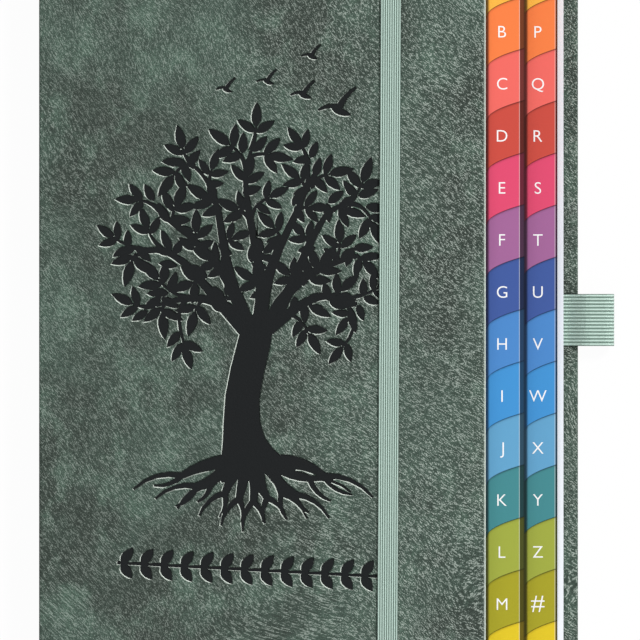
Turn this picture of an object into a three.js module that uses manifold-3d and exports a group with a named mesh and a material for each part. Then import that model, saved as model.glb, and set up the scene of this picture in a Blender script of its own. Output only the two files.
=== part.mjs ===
// Address book of A5 size, lying on its back cover: a case of boards wrapped in leathercloth,
// one sewn block of pages, two columns of stepped index tabs, an elastic closure and a pen loop.
// Millimetres. +X runs from the spine to the fore-edge, +Y to the head, +Z out of the front cover.
// The origin is the centre of the back cover's outer face. Places below are measured from the
// spine edge, and each piece is moved to the origin as it is added.
import * as THREE from "three";
import { mergeVertices } from "three/addons/utils/BufferGeometryUtils.js";
import Module from "manifold-3d";

const wasm = await Module();
wasm.setup();

// Covers
const BACK_COVER_WIDTH = 148;
const COVER_HEIGHT = 210;
const COVER_CORNER_RADIUS = 5;
const SKIN = 0.7;
const SKIN_EDGE_RADIUS = 0.55;
const BOARD = 1.6;
const TURN_IN = 14;
const TURN_IN_THICKNESS = 0.3;
const ENDPAPER = 0.2;
const ENDPAPER_INSET = 4.3;
const GLUE_LINE = 0.05;

// Block of pages
const HEAD_SQUARE = 3;
const FORE_SQUARE = 4;
const FRONT_FORE_SQUARE = 1.5;
const FIRST_SECTION_WIDTH = 121;
const SECOND_SECTION_WIDTH = 131;
const PAGE_CORNER_RADIUS = 4;
const FRONT_MATTER = 0.4;
const LETTER_SECTION = 0.37;
const NOTE_PAGES = 1.2;
const BLOCK_PLAY = 0.1;
const SPINE_LINING = 0.3;
const HEAD_BAND_RADIUS = 0.9;

// Index tabs
const TABS_IN_COLUMN = 14;
const TAB_RISE = 5.66;
const TAB_THICKNESS = 0.2;
const TAB_OVERLAP = 1.2;
const TAB_ROOT_DEPTH = 6;
const TAB_ROOT_INSET = 0.6;
const TAB_HEAD_MARGIN = 0.2;
const TAB_SLOT_PLAY = 0.05;
const TAB_ARC_STEPS = 8;
const TAB_HEAD_ROOM = 18.7;
const TAB_TAIL_ROOM = 13.7;
const FIRST_TAB_NECK = 1.8;
const FIRST_TAB_STANDOUT = 12.2;
const SECOND_TAB_NECK = 2;
const SECOND_TAB_STANDOUT = 11.3;
const TAB_NAMES = [..."abcdefghijklmnopqrstuvwxyz", "number", "last"];

// Elastic closure
const STRAP_WIDTH = 5.6;
const STRAP_THICKNESS = 0.8;
const STRAP_RIBS = 9;
const STRAP_CENTRE = 96;
const STRAP_STANDOFF = 0.1;
const STRAP_SLANT = 0.31;
const STRAP_BEND = 0.8;
const STRAP_ANCHOR = 13;

// Pen loop
const LOOP_WIDTH = 14.3;
const LOOP_THICKNESS = 0.6;
const LOOP_RIBS = 15;
const LOOP_REACH = 10;
const LOOP_BORE_HEIGHT = 4.8;
const LOOP_FLOOR = 0.2;
const LOOP_ANCHOR = 14;
const LOOP_SPREAD = 3.2;
const LOOP_PAGE_PLAY = 0.4;

const RIB_RELIEF = 0.12;
const POCKET_PLAY = 0.15;

// Pressed ornament of the front cover: a tree, birds above it and a band of sprigs below it.
// Places are measured on the closed book.
const PRESS_DEPTH = 0.4;
const PRESS_TOLERANCE = 0.03;
const ORNAMENT_SEED = 11;
const TREE_FORK = new THREE.Vector2(59.5, -3);
const TREE_CROWN = {
  x: 58, y: 18.5, halfWidth: 39, halfHeight: 35, from: -32, to: 212, limbReach: 0.74, sway: 0.12,
};
const TREE_LIMBS = 9;
const TREE_TIPS = 54;
const TREE_CLEARING = { above: 8, beside: 13 };
const GOLDEN_ANGLE = Math.PI * (3 - Math.sqrt(5));
const TREE_BASE = new THREE.Vector2(58.6, -39);
const TREE_ROOTS = 11;
// Each trunk station is a place and the trunk's width there.
const TREE_TRUNK = [
  [60.2, 1, 8], [59, -6, 8.8], [57, -14, 9], [55.7, -21, 9.2], [55.5, -28, 9.8], [56, -33, 11.4],
  [56.8, -37, 14.4], [57.8, -40, 18.5], [58.4, -43, 17],
];
const BIRDS = [
  { x: 51.2, y: 63.7, span: 5.6 },
  { x: 62.5, y: 65.9, span: 5.8 },
  { x: 72.4, y: 62.3, span: 7 },
  { x: 74.6, y: 72.8, span: 5.6 },
  { x: 82, y: 58.5, span: 11 },
];
const SPRIG_BAND = { left: 21.3, right: 93, middle: -68.5, height: 8.2, pairs: 13, slant: 3 };

// Heights that follow from the sizes above
const CASE = SKIN + BOARD + TURN_IN_THICKNESS + 2 * GLUE_LINE;
const COVER = CASE + GLUE_LINE + ENDPAPER;
const BLOCK_BOTTOM = COVER + BLOCK_PLAY;
const SECOND_SECTION_BOTTOM = BLOCK_BOTTOM + NOTE_PAGES;
const FIRST_SECTION_BOTTOM = SECOND_SECTION_BOTTOM + TABS_IN_COLUMN * LETTER_SECTION;
const BLOCK_TOP = FIRST_SECTION_BOTTOM + TABS_IN_COLUMN * LETTER_SECTION + FRONT_MATTER;
const BOOK_THICKNESS = BLOCK_TOP + BLOCK_PLAY + COVER;
const PAGE_HEIGHT = COVER_HEIGHT - 2 * HEAD_SQUARE;
const PAGE_WIDTH = BACK_COVER_WIDTH - FORE_SQUARE;
const FRONT_COVER_WIDTH = FIRST_SECTION_WIDTH + FRONT_FORE_SQUARE;
const SPINE_BOARD_INSIDE = SKIN + GLUE_LINE + BOARD;
const BLOCK_SPINE = SPINE_BOARD_INSIDE + TURN_IN_THICKNESS + SPINE_LINING + 3 * GLUE_LINE;

// Places of the index tabs: 13 boundaries part the 14 tabs of a column.
const TAB_FIRST_BOUNDARY = PAGE_HEIGHT / 2 - TAB_HEAD_ROOM;
const TAB_PITCH = (PAGE_HEIGHT - TAB_HEAD_ROOM - TAB_TAIL_ROOM) / (TABS_IN_COLUMN - 2);
const FIRST_COLUMN = {
  blockEdge: FIRST_SECTION_WIDTH,
  curveStart: FIRST_SECTION_WIDTH + FIRST_TAB_NECK,
  edge: FIRST_SECTION_WIDTH + FIRST_TAB_STANDOUT,
};
const SECOND_COLUMN = {
  blockEdge: SECOND_SECTION_WIDTH,
  curveStart: SECOND_SECTION_WIDTH + SECOND_TAB_NECK,
  edge: SECOND_SECTION_WIDTH + SECOND_TAB_STANDOUT,
};

// A piece cut past a face reaches this far beyond it.
const OVERCUT = 1;

// Materials, with the colours of the photographed book
const paint = (color, roughness) =>
  new THREE.MeshStandardMaterial({ color, roughness, metalness: 0 });
const LEATHERCLOTH = paint(0x536258, 0.55);
const GREYBOARD = paint(0x8a8378, 0.95);
const ENDPAPER_PAPER = paint(0xe9e6dc, 0.9);
const PAGE_PAPER = paint(0xf2f1ee, 0.9);
const ELASTIC = paint(0x9db8a9, 0.8);
const LINING = paint(0xd8d4c6, 0.95);
const BAND_THREAD = paint(0x8fae9e, 0.85);
const TAB_COLOURS = [
  0xfcb946, 0xfa8244, 0xf46c64, 0xcd4e40, 0xe44c72, 0xa5679a, 0x405a9f,
  0x4c8acc, 0x4296d6, 0x64a5ce, 0x448b91, 0xa3ac42, 0xa9a125, 0xe8cd20,
].map((colour) => paint(colour, 0.35));

/** A three.js geometry as a solid that can be cut and joined. */
function solidOf(geometry) {
  const bare = geometry.clone();
  bare.deleteAttribute("normal");
  bare.deleteAttribute("uv");
  const merged = mergeVertices(bare, 1e-4);
  return new wasm.Manifold(
    new wasm.Mesh({
      numProp: 3,
      vertProperties: merged.attributes.position.array,
      triVerts: new Uint32Array(merged.index.array),
    }),
  );
}

/** A cut or joined solid as a three.js geometry. */
function geometryOf(solid) {
  const mesh = solid.getMesh();
  const geometry = new THREE.BufferGeometry();
  geometry.setAttribute("position", new THREE.BufferAttribute(mesh.vertProperties, 3));
  geometry.setIndex(new THREE.BufferAttribute(mesh.triVerts, 1));
  return geometry;
}

/** A box given by its lowest and highest corners. */
function box(low, high) {
  const size = high.map((value, axis) => value - low[axis]);
  const centre = high.map((value, axis) => (value + low[axis]) / 2);
  return new THREE.BoxGeometry(...size).translate(...centre);
}

/** A sheet's outline, centred on Y: square at the spine edge, round at the fore-edge corners. */
function sheetOutline(left, right, height, radius) {
  const top = height / 2;
  const shape = new THREE.Shape();
  shape.moveTo(left, -top);
  shape.lineTo(right - radius, -top);
  shape.absarc(right - radius, radius - top, radius, -Math.PI / 2, 0);
  shape.absarc(right - radius, top - radius, radius, 0, Math.PI / 2);
  shape.lineTo(left, top);
  return shape;
}

/** A flat slab of an outline, from one height to another. */
function slab(shape, low, high, curveSegments = 6) {
  return new THREE.ExtrudeGeometry(shape, {
    depth: high - low,
    bevelEnabled: false,
    curveSegments,
  }).translate(0, 0, low);
}

/** A slab whose upper and lower edges are rounded. */
function roundedSlab(shape, low, high, radius) {
  return new THREE.ExtrudeGeometry(shape, {
    depth: high - low - 2 * radius,
    bevelThickness: radius,
    bevelSize: radius,
    bevelOffset: -radius,
    bevelSegments: 3,
    curveSegments: 6,
  }).translate(0, 0, low + radius);
}

/** The ribbed section of a woven elastic: [across the band, out of its face] points. */
function ribbedSection(width, thickness, ribs) {
  const pitch = width / ribs;
  const points = [[-width / 2, 0], [width / 2, 0]];
  for (let rib = ribs - 1; rib >= 0; rib--) {
    const left = -width / 2 + rib * pitch;
    points.push([left + pitch, thickness - RIB_RELIEF]);
    points.push([left + 0.7 * pitch, thickness]);
    points.push([left + 0.3 * pitch, thickness]);
  }
  points.push([-width / 2, thickness - RIB_RELIEF]);
  return points;
}

/**
 * Sweeps a section along a flat path. The section's first coordinate runs along `across`, and its
 * second along the path's outer side, which lies to the right of the way that the path runs.
 */
function sweep(path, section, toPoint) {
  const vertices = [];
  path.forEach((point, index) => {
    const before = path[Math.max(index - 1, 0)];
    const after = path[Math.min(index + 1, path.length - 1)];
    const along = new THREE.Vector2().subVectors(after, before).normalize();
    const out = new THREE.Vector2(along.y, -along.x);
    for (const [across, off] of section) {
      vertices.push(...toPoint(point.x + out.x * off, point.y + out.y * off, across));
    }
  });
  const ring = section.length;
  const faces = [];
  for (let step = 0; step < path.length - 1; step++) {
    for (let side = 0; side < ring; side++) {
      const next = (side + 1) % ring;
      const [a, b] = [step * ring + side, step * ring + next];
      faces.push(a, b, b + ring, a, b + ring, a + ring);
    }
  }
  const outline = section.map(([across, off]) => new THREE.Vector2(across, off));
  for (const [a, b, c] of THREE.ShapeUtils.triangulateShape(outline, [])) {
    const last = (path.length - 1) * ring;
    faces.push(a, c, b, last + a, last + b, last + c);
  }
  const geometry = new THREE.BufferGeometry();
  geometry.setAttribute("position", new THREE.Float32BufferAttribute(vertices, 3));
  geometry.setIndex(faces);
  return geometry;
}

/** Points of an arc in a plane, from one angle to another. */
function arcPoints(centreX, centreY, radius, from, to, steps) {
  return Array.from({ length: steps + 1 }, (_, step) => {
    const angle = from + ((to - from) * step) / steps;
    return new THREE.Vector2(
      centreX + radius * Math.cos(angle),
      centreY + radius * Math.sin(angle),
    );
  });
}

/** One cover's pieces, as solids with the inside face at height 0 and the leathercloth on top. */
function coverPieces(width) {
  const outline = (inset) =>
    sheetOutline(inset, width - inset, COVER_HEIGHT - 2 * inset, COVER_CORNER_RADIUS - inset);
  const inside = ENDPAPER + GLUE_LINE;
  const lip = inside + TURN_IN_THICKNESS;
  const hollow = slab(outline(SKIN), lip, COVER - SKIN);
  const window = slab(
    sheetOutline(TURN_IN, width - TURN_IN, COVER_HEIGHT - 2 * TURN_IN, GLUE_LINE),
    inside - OVERCUT,
    lip + OVERCUT,
    1,
  );
  return {
    skin: solidOf(roundedSlab(outline(0), inside, COVER, SKIN_EDGE_RADIUS))
      .subtract(solidOf(hollow))
      .subtract(solidOf(window)),
    board: solidOf(slab(outline(SKIN + GLUE_LINE), lip + GLUE_LINE, COVER - SKIN - GLUE_LINE)),
    endpaper: solidOf(slab(outline(ENDPAPER_INSET), 0, ENDPAPER)),
  };
}

/** The leathercloth over the spine, turned in at head and tail round the spine board. */
function spineSkin() {
  const reach = COVER_HEIGHT / 2;
  const [low, high] = [COVER + GLUE_LINE, BLOCK_TOP + BLOCK_PLAY - GLUE_LINE];
  const inside = SPINE_BOARD_INSIDE + GLUE_LINE;
  const body = solidOf(box([0, -reach, low], [inside + TURN_IN_THICKNESS, reach, high]));
  const hollow = box([SKIN, SKIN - reach, low - OVERCUT], [inside, reach - SKIN, high + OVERCUT]);
  const window = box(
    [SKIN, TURN_IN - reach, low - OVERCUT],
    [inside + TURN_IN_THICKNESS + OVERCUT, reach - TURN_IN, high + OVERCUT],
  );
  return body.subtract(solidOf(hollow)).subtract(solidOf(window));
}

/** The height range of one tab, counted from the first letter down through both columns. */
function tabHeights(index) {
  const middle = BLOCK_TOP - FRONT_MATTER - (index + 0.5) * LETTER_SECTION;
  return [middle - TAB_THICKNESS / 2, middle + TAB_THICKNESS / 2];
}

/** Where one tab's root lies in the page block: its edge column, row and height. */
function tabRoot(column, row, play) {
  const low = TAB_FIRST_BOUNDARY - row * TAB_PITCH + TAB_ROOT_INSET;
  const reach = PAGE_HEIGHT / 2 - TAB_HEAD_MARGIN;
  return {
    left: column.blockEdge - TAB_ROOT_DEPTH - play,
    bottom: Math.max(low, -reach) - play,
    top: Math.min(low + TAB_PITCH - 2 * TAB_ROOT_INSET, reach) + play,
  };
}

/**
 * One index tab: a root that sits in the pages, and a face whose lower and upper edges rise
 * towards the fore-edge. The lower edge shows, and the upper one lies under the tab above.
 */
function indexTab(column, row) {
  const reach = PAGE_HEIGHT / 2 - TAB_HEAD_MARGIN;
  const boundary = TAB_FIRST_BOUNDARY - row * TAB_PITCH;
  const clip = (y) => THREE.MathUtils.clamp(y, -reach, reach);
  const rise = (step) => {
    const share = step / TAB_ARC_STEPS;
    const x = column.curveStart + (column.edge - column.curveStart) * share * share;
    return [x, boundary + TAB_RISE * share];
  };
  const steps = Array.from({ length: TAB_ARC_STEPS + 1 }, (_, step) => rise(step));
  const lowerEdge = steps.map(([x, y]) => [x, clip(y)]);
  const upperEdge = steps.map(([x, y]) => [x, clip(y + TAB_PITCH + TAB_OVERLAP)]).reverse();
  const root = tabRoot(column, row, 0);
  const neck = column.blockEdge + TAB_ROOT_INSET;
  const points = [
    [root.left, root.bottom],
    [neck, root.bottom],
    ...lowerEdge,
    ...upperEdge,
    [neck, root.top],
    [root.left, root.top],
  ];
  return new THREE.Shape(points.map(([x, y]) => new THREE.Vector2(x, y)));
}

/** The sewn pages as one solid, stepped for the two tab columns and slotted for the tabs. */
function pageBlock(tabs) {
  const reach = PAGE_HEIGHT / 2;
  const notes = solidOf(
    slab(
      sheetOutline(BLOCK_SPINE, PAGE_WIDTH, PAGE_HEIGHT, PAGE_CORNER_RADIUS),
      BLOCK_BOTTOM,
      SECOND_SECTION_BOTTOM,
    ),
  );
  const section = (right, low, high) =>
    solidOf(box([BLOCK_SPINE, -reach, low], [right, reach, high]));
  const slots = tabs.map(({ column, row, index }) => {
    const root = tabRoot(column, row, TAB_SLOT_PLAY);
    const [low, high] = tabHeights(index);
    return solidOf(
      box(
        [root.left, root.bottom, low - TAB_SLOT_PLAY],
        [column.blockEdge + OVERCUT, root.top, high + TAB_SLOT_PLAY],
      ),
    );
  });
  return wasm.Manifold.union([
    notes,
    section(SECOND_SECTION_WIDTH, SECOND_SECTION_BOTTOM, FIRST_SECTION_BOTTOM),
    section(FIRST_SECTION_WIDTH, FIRST_SECTION_BOTTOM, BLOCK_TOP),
  ]).subtract(wasm.Manifold.union(slots));
}

/** The elastic closure's path in Y and Z, along the face that lies towards the book. */
function strapPath() {
  const reach = COVER_HEIGHT / 2;
  const outside = reach + STRAP_STANDOFF;
  const rounding = SKIN_EDGE_RADIUS + STRAP_STANDOFF;
  const half = [
    new THREE.Vector2(reach - STRAP_ANCHOR, CASE),
    ...arcPoints(outside - STRAP_BEND, CASE + STRAP_BEND, STRAP_BEND, -Math.PI / 2, 0, 6),
    ...arcPoints(outside - rounding, BOOK_THICKNESS - SKIN_EDGE_RADIUS, rounding, 0, Math.PI / 2, 6),
  ];
  return [...half, ...half.map(({ x, y }) => new THREE.Vector2(-x, y)).reverse()];
}

/** The pen loop's path in X and Z, along its inner face: lower layer out, upper layer back. */
function loopPath() {
  const edge = BACK_COVER_WIDTH + GLUE_LINE;
  const start = BACK_COVER_WIDTH - LOOP_ANCHOR;
  const lower = CASE - LOOP_THICKNESS - 2 * GLUE_LINE;
  const upper = lower + GLUE_LINE;
  const radius = LOOP_BORE_HEIGHT / 2;
  const bottom = LOOP_FLOOR + LOOP_THICKNESS;
  const bendX = BACK_COVER_WIDTH + LOOP_REACH - LOOP_THICKNESS - radius;
  const swing = (fromX, fromY, toX, toY) => {
    const third = (toX - fromX) / 3;
    const corners = [fromX, fromY, fromX + third, fromY, toX - third, toY, toX, toY];
    const [a, b, c, d] = [0, 2, 4, 6].map((i) => new THREE.Vector2(corners[i], corners[i + 1]));
    return new THREE.CubicBezierCurve(a, b, c, d).getPoints(7);
  };
  return [
    new THREE.Vector2(start, lower),
    ...swing(edge, lower, edge + LOOP_SPREAD, bottom),
    ...arcPoints(bendX, bottom + radius, radius, -Math.PI / 2, Math.PI / 2, 12),
    ...swing(edge + LOOP_SPREAD, bottom + 2 * radius, PAGE_WIDTH + LOOP_PAGE_PLAY, upper),
    new THREE.Vector2(start, upper),
  ];
}

/** A small repeatable source of numbers from 0 to 1. */
function randomSource(seed) {
  let state = seed;
  return () => {
    state = (state * 1664525 + 1013904223) % 4294967296;
    return state / 4294967296;
  };
}

/** The outline of a tapering stroke through points, with a width at each. */
function strokeOutline(points, widths) {
  const left = [];
  const right = [];
  points.forEach((point, index) => {
    const before = points[Math.max(index - 1, 0)];
    const after = points[Math.min(index + 1, points.length - 1)];
    const along = new THREE.Vector2().subVectors(after, before).normalize();
    const side = new THREE.Vector2(-along.y, along.x).multiplyScalar(widths[index] / 2);
    left.push(point.clone().add(side));
    right.push(point.clone().sub(side));
  });
  return [...right, ...left.reverse()];
}

/** The outline of a pointed leaf that grows from a point at an angle. */
function leafOutline(base, angle, length, width) {
  const halfWidths = [[0.1, 0.5], [0.27, 0.9], [0.46, 1], [0.7, 0.76], [0.88, 0.36]];
  const along = new THREE.Vector2(Math.cos(angle), Math.sin(angle));
  const side = new THREE.Vector2(-along.y, along.x);
  const at = (share, half) =>
    base.clone().addScaledVector(along, share * length).addScaledVector(side, (half * width) / 2);
  return [
    at(0, 0),
    ...halfWidths.map(([share, half]) => at(share, -half)),
    at(1, 0),
    ...halfWidths.map(([share, half]) => at(share, half)).reverse(),
  ];
}

/** The outline of a stroke along a curve, from one width to another. */
function taperedStroke(curve, startWidth, endWidth, steps, taper = 1) {
  const widths = Array.from({ length: steps + 1 }, (_, step) =>
    THREE.MathUtils.lerp(startWidth, endWidth, Math.pow(step / steps, taper)),
  );
  return strokeOutline(curve.getPoints(steps), widths);
}

/** A gently bent tapering stroke between two points. */
function bentStroke(from, to, bend, startWidth, endWidth, steps) {
  const along = new THREE.Vector2().subVectors(to, from);
  const side = new THREE.Vector2(-along.y, along.x).multiplyScalar(bend);
  const middle = from.clone().lerp(to, 0.5).add(side);
  return taperedStroke(new THREE.QuadraticBezierCurve(from, middle, to), startWidth, endWidth, steps);
}

/** A leafy twig end: one leaf at the tip, and pairs that spread from the twig behind it. */
function twigLeaves(tip, angle, random) {
  const along = new THREE.Vector2(Math.cos(angle), Math.sin(angle));
  const size = 0.86 + 0.24 * random();
  const leaves = [leafOutline(tip.clone().addScaledVector(along, -0.5), angle, 7 * size, 2.6 * size)];
  for (let pair = 0; pair < 2; pair++) {
    for (const side of [-1, 1]) {
      if (pair === 1 && random() < 0.35) continue;
      const base = tip.clone().addScaledVector(along, -1.2 - 3.1 * pair - 0.7 * random());
      const turn = side * (0.82 + 0.1 * pair + 0.25 * random());
      leaves.push(leafOutline(base, angle + turn, (6 - 0.5 * pair) * size, 2.4 * size));
    }
  }
  return leaves;
}

/** One limb's curve, which sways from the fork out to the leafy rim of the crown. */
function limbCurve(limb, random) {
  const angle = THREE.MathUtils.degToRad(
    THREE.MathUtils.lerp(TREE_CROWN.from, TREE_CROWN.to, limb / (TREE_LIMBS - 1)),
  );
  const reach = TREE_CROWN.limbReach + 0.1 * random();
  const end = new THREE.Vector2(
    TREE_CROWN.x + TREE_CROWN.halfWidth * Math.cos(angle) * reach,
    TREE_CROWN.y + TREE_CROWN.halfHeight * Math.sin(angle) * reach,
  );
  const start = TREE_FORK.clone().add(new THREE.Vector2(2.6 * Math.cos(angle), 0));
  const sway = TREE_CROWN.sway * (limb % 2 ? 1 : -1);
  const across = new THREE.Vector2(start.y - end.y, end.x - start.x).multiplyScalar(sway);
  const arch = new THREE.Vector2(0, 0.28 * Math.abs(end.x - start.x));
  return new THREE.CubicBezierCurve(
    start,
    start.clone().lerp(end, 0.35).add(across).add(arch),
    start.clone().lerp(end, 0.7).sub(across).add(arch),
    end,
  );
}

/** The twig to a tip: it leaves the limb where it can lean forward and stay short. */
function twigCurve(tip, limbs) {
  const choices = limbs.flatMap((limb) =>
    Array.from({ length: 12 }, (_, step) => {
      const share = 0.2 + (0.8 * step) / 11;
      const from = limb.getPoint(share);
      const tangent = limb.getTangent(share);
      const toTip = new THREE.Vector2().subVectors(tip, from);
      const lean = toTip.length() > 0 ? tangent.dot(toTip) / toTip.length() : 1;
      return { from, tangent, span: toTip.length(), cost: (toTip.length() + 3) * (1.7 - lean) };
    }),
  );
  const { from, tangent, span } = choices.reduce((best, next) => (next.cost < best.cost ? next : best));
  return new THREE.QuadraticBezierCurve(from, from.clone().addScaledVector(tangent, 0.5 * span), tip);
}

/** Swaying limbs, and leafy twig tips spread evenly over the crown in a sunflower spiral. */
function crownOutlines(random) {
  const limbs = Array.from({ length: TREE_LIMBS }, (_, limb) => limbCurve(limb, random));
  const outlines = limbs.map((limb) => taperedStroke(limb, 4.4, 0.9, 12, 0.6));
  for (let index = 0; index < TREE_TIPS; index++) {
    const reach = Math.sqrt((index + 0.5) / TREE_TIPS);
    const turn = index * GOLDEN_ANGLE;
    const tip = new THREE.Vector2(
      TREE_CROWN.x + TREE_CROWN.halfWidth * reach * Math.cos(turn),
      TREE_CROWN.y + TREE_CROWN.halfHeight * reach * Math.sin(turn),
    );
    const offset = new THREE.Vector2().subVectors(tip, TREE_FORK);
    if (offset.y < TREE_CLEARING.above && Math.abs(offset.x) < TREE_CLEARING.beside) continue;
    const twig = twigCurve(tip, limbs);
    const heading = twig.getTangent(1);
    outlines.push(taperedStroke(twig, 1.5, 0.45, 5));
    outlines.push(...twigLeaves(tip, Math.atan2(heading.y, heading.x), random));
  }
  return outlines;
}

/** The trunk and its fan of roots. */
function trunkOutlines(random) {
  const trunk = strokeOutline(
    TREE_TRUNK.map(([x, y]) => new THREE.Vector2(x, y)),
    TREE_TRUNK.map(([, , width]) => width),
  );
  const roots = Array.from({ length: TREE_ROOTS }, (_, index) => {
    const share = index / (TREE_ROOTS - 1) - 0.5;
    const inward = 0.5 - Math.abs(share);
    const from = new THREE.Vector2(TREE_BASE.x + 15 * share, TREE_BASE.y - 2 * inward);
    const middle = from.clone().add(
      new THREE.Vector2(24 * share, -3 - 13 * inward - 3 * random()),
    );
    const bend = (random() - 0.5) * 0.5;
    const ends = [-1, 1].map((side) =>
      middle.clone().add(
        new THREE.Vector2(21 * share + 2.8 * side, -2.5 - 6 * inward - 3.5 * random()),
      ),
    );
    return [
      bentStroke(from, middle, bend, 4.2, 1.7, 4),
      ...ends.map((end, side) => bentStroke(middle, end, (side - 0.5) * 0.5, 1.6, 0.4, 4)),
    ];
  });
  return [trunk, ...roots.flat()];
}

/** A small flying bird: two bent wings and a body. */
function birdOutlines({ x, y, span }) {
  const at = (across, up) => new THREE.Vector2(x + across * span, y + up * span);
  return [
    bentStroke(at(0.06, -0.02), at(-0.5, -0.08), -0.22, 0.15 * span, 0.04 * span, 4),
    bentStroke(at(0, -0.05), at(0.44, 0.48), 0.14, 0.17 * span, 0.04 * span, 4),
    leafOutline(at(-0.16, -0.04), -0.35, 0.5 * span, 0.17 * span),
  ];
}

/** A plain band of sprigs, where a title goes. */
function sprigOutlines() {
  const { left, right, middle, height, pairs, slant } = SPRIG_BAND;
  const centre = new THREE.Vector2((left + right) / 2, middle);
  const pitch = (right - left) / pairs;
  const outlines = [
    strokeOutline([new THREE.Vector2(left, middle), new THREE.Vector2(right, middle)], [0.8, 0.8]),
  ];
  for (let pair = 0; pair < pairs; pair++) {
    const base = new THREE.Vector2(left + (pair + 0.2) * pitch, middle);
    for (const side of [-1, 1]) {
      outlines.push(leafOutline(base, side * 0.95, 0.62 * height, 0.32 * height));
    }
  }
  return outlines.map((outline) =>
    outline.map((point) => point.clone().rotateAround(centre, THREE.MathUtils.degToRad(-slant))),
  );
}

/** The cutter of the whole pressed ornament: its outlines joined flat, then given depth. */
function pressedCutter() {
  const random = randomSource(ORNAMENT_SEED);
  const outlines = [
    ...trunkOutlines(random),
    ...crownOutlines(random),
    ...BIRDS.flatMap(birdOutlines),
    ...sprigOutlines(),
  ];
  const flat = outlines.map((outline) =>
    new wasm.CrossSection([outline.map(({ x, y }) => [x, y])], "NonZero"),
  );
  return wasm.CrossSection.union(flat)
    .simplify(PRESS_TOLERANCE)
    .extrude(PRESS_DEPTH + OVERCUT)
    .translate([0, 0, COVER - PRESS_DEPTH]);
}

const group = new THREE.Group();
group.name = "address_book";

/** Adds one named sub-part to the book. */
function addPart(name, geometry, material) {
  const moved = geometry.translate(-BACK_COVER_WIDTH / 2, 0, 0);
  const mesh = new THREE.Mesh(moved, material.clone());
  mesh.name = name;
  group.add(mesh);
  return mesh;
}

// Elastic closure and pen loop, with the pockets that their ends are glued into
const strapSlant = new THREE.Matrix4()
  .makeRotationZ(THREE.MathUtils.degToRad(-STRAP_SLANT))
  .setPosition(STRAP_CENTRE, 0, 0);
const strap = sweep(
  strapPath(),
  ribbedSection(STRAP_WIDTH, STRAP_THICKNESS, STRAP_RIBS),
  (along, up, across) => [across, along, up],
).applyMatrix4(strapSlant);
const loop = sweep(
  loopPath(),
  ribbedSection(LOOP_WIDTH, LOOP_THICKNESS, LOOP_RIBS),
  (along, up, across) => [along, -across, up],
);
const pockets = [-1, 1].map((side) => {
  const inner = side * (COVER_HEIGHT / 2 - STRAP_ANCHOR - POCKET_PLAY);
  const outer = side * (COVER_HEIGHT / 2 + OVERCUT);
  const half = STRAP_WIDTH / 2 + POCKET_PLAY;
  const low = CASE - STRAP_THICKNESS - POCKET_PLAY;
  return solidOf(
    box([-half, Math.min(inner, outer), low], [half, Math.max(inner, outer), CASE + GLUE_LINE / 2])
      .applyMatrix4(strapSlant),
  );
});
pockets.push(
  solidOf(
    box(
      [BACK_COVER_WIDTH - LOOP_ANCHOR - POCKET_PLAY, -LOOP_WIDTH / 2 - POCKET_PLAY,
        CASE - 2 * LOOP_THICKNESS - POCKET_PLAY - GLUE_LINE],
      [BACK_COVER_WIDTH + OVERCUT, LOOP_WIDTH / 2 + POCKET_PLAY, CASE + GLUE_LINE / 2],
    ),
  ),
);

// Covers
const front = coverPieces(FRONT_COVER_WIDTH);
const back = coverPieces(BACK_COVER_WIDTH);
const toFront = (solid) => geometryOf(solid.translate([0, 0, BLOCK_TOP + BLOCK_PLAY]));
const turnOver = (solid) => solid.rotate([180, 0, 0]).translate([0, 0, COVER]);
const withPockets = (solid) => geometryOf(solid.subtract(wasm.Manifold.union(pockets)));
addPart("front_cover_skin", toFront(front.skin.subtract(pressedCutter())), LEATHERCLOTH);
addPart("front_board", toFront(front.board), GREYBOARD);
addPart("front_endpaper", toFront(front.endpaper), ENDPAPER_PAPER);
addPart("back_cover_skin", withPockets(turnOver(back.skin)), LEATHERCLOTH);
addPart("back_board", withPockets(turnOver(back.board)), GREYBOARD);
addPart("back_endpaper", geometryOf(turnOver(back.endpaper)), ENDPAPER_PAPER);
addPart("elastic_strap", strap, ELASTIC);
addPart("pen_loop", loop, ELASTIC);

// Spine, with its board and lining
addPart("spine_skin", geometryOf(spineSkin()), LEATHERCLOTH);
const spineReach = COVER_HEIGHT / 2 - SKIN - GLUE_LINE;
const [spineLow, spineHigh] = [COVER + GLUE_LINE, BLOCK_TOP + BLOCK_PLAY - GLUE_LINE];
addPart(
  "spine_board",
  box([SKIN + GLUE_LINE, -spineReach, spineLow], [SPINE_BOARD_INSIDE, spineReach, spineHigh]),
  GREYBOARD,
);
const liningLeft = BLOCK_SPINE - GLUE_LINE - SPINE_LINING;
addPart(
  "spine_lining",
  box(
    [liningLeft, -PAGE_HEIGHT / 2, BLOCK_BOTTOM],
    [liningLeft + SPINE_LINING, PAGE_HEIGHT / 2, BLOCK_TOP],
  ),
  LINING,
);
for (const [name, side] of [["head_band", 1], ["tail_band", -1]]) {
  const height = BLOCK_TOP - BLOCK_BOTTOM;
  const band = new THREE.CylinderGeometry(HEAD_BAND_RADIUS, HEAD_BAND_RADIUS, height, 16)
    .rotateX(Math.PI / 2)
    .translate(
      BLOCK_SPINE + HEAD_BAND_RADIUS + TURN_IN_THICKNESS,
      side * (PAGE_HEIGHT / 2 + GLUE_LINE + HEAD_BAND_RADIUS),
      (BLOCK_TOP + BLOCK_BOTTOM) / 2,
    );
  addPart(name, band, BAND_THREAD);
}

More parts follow.
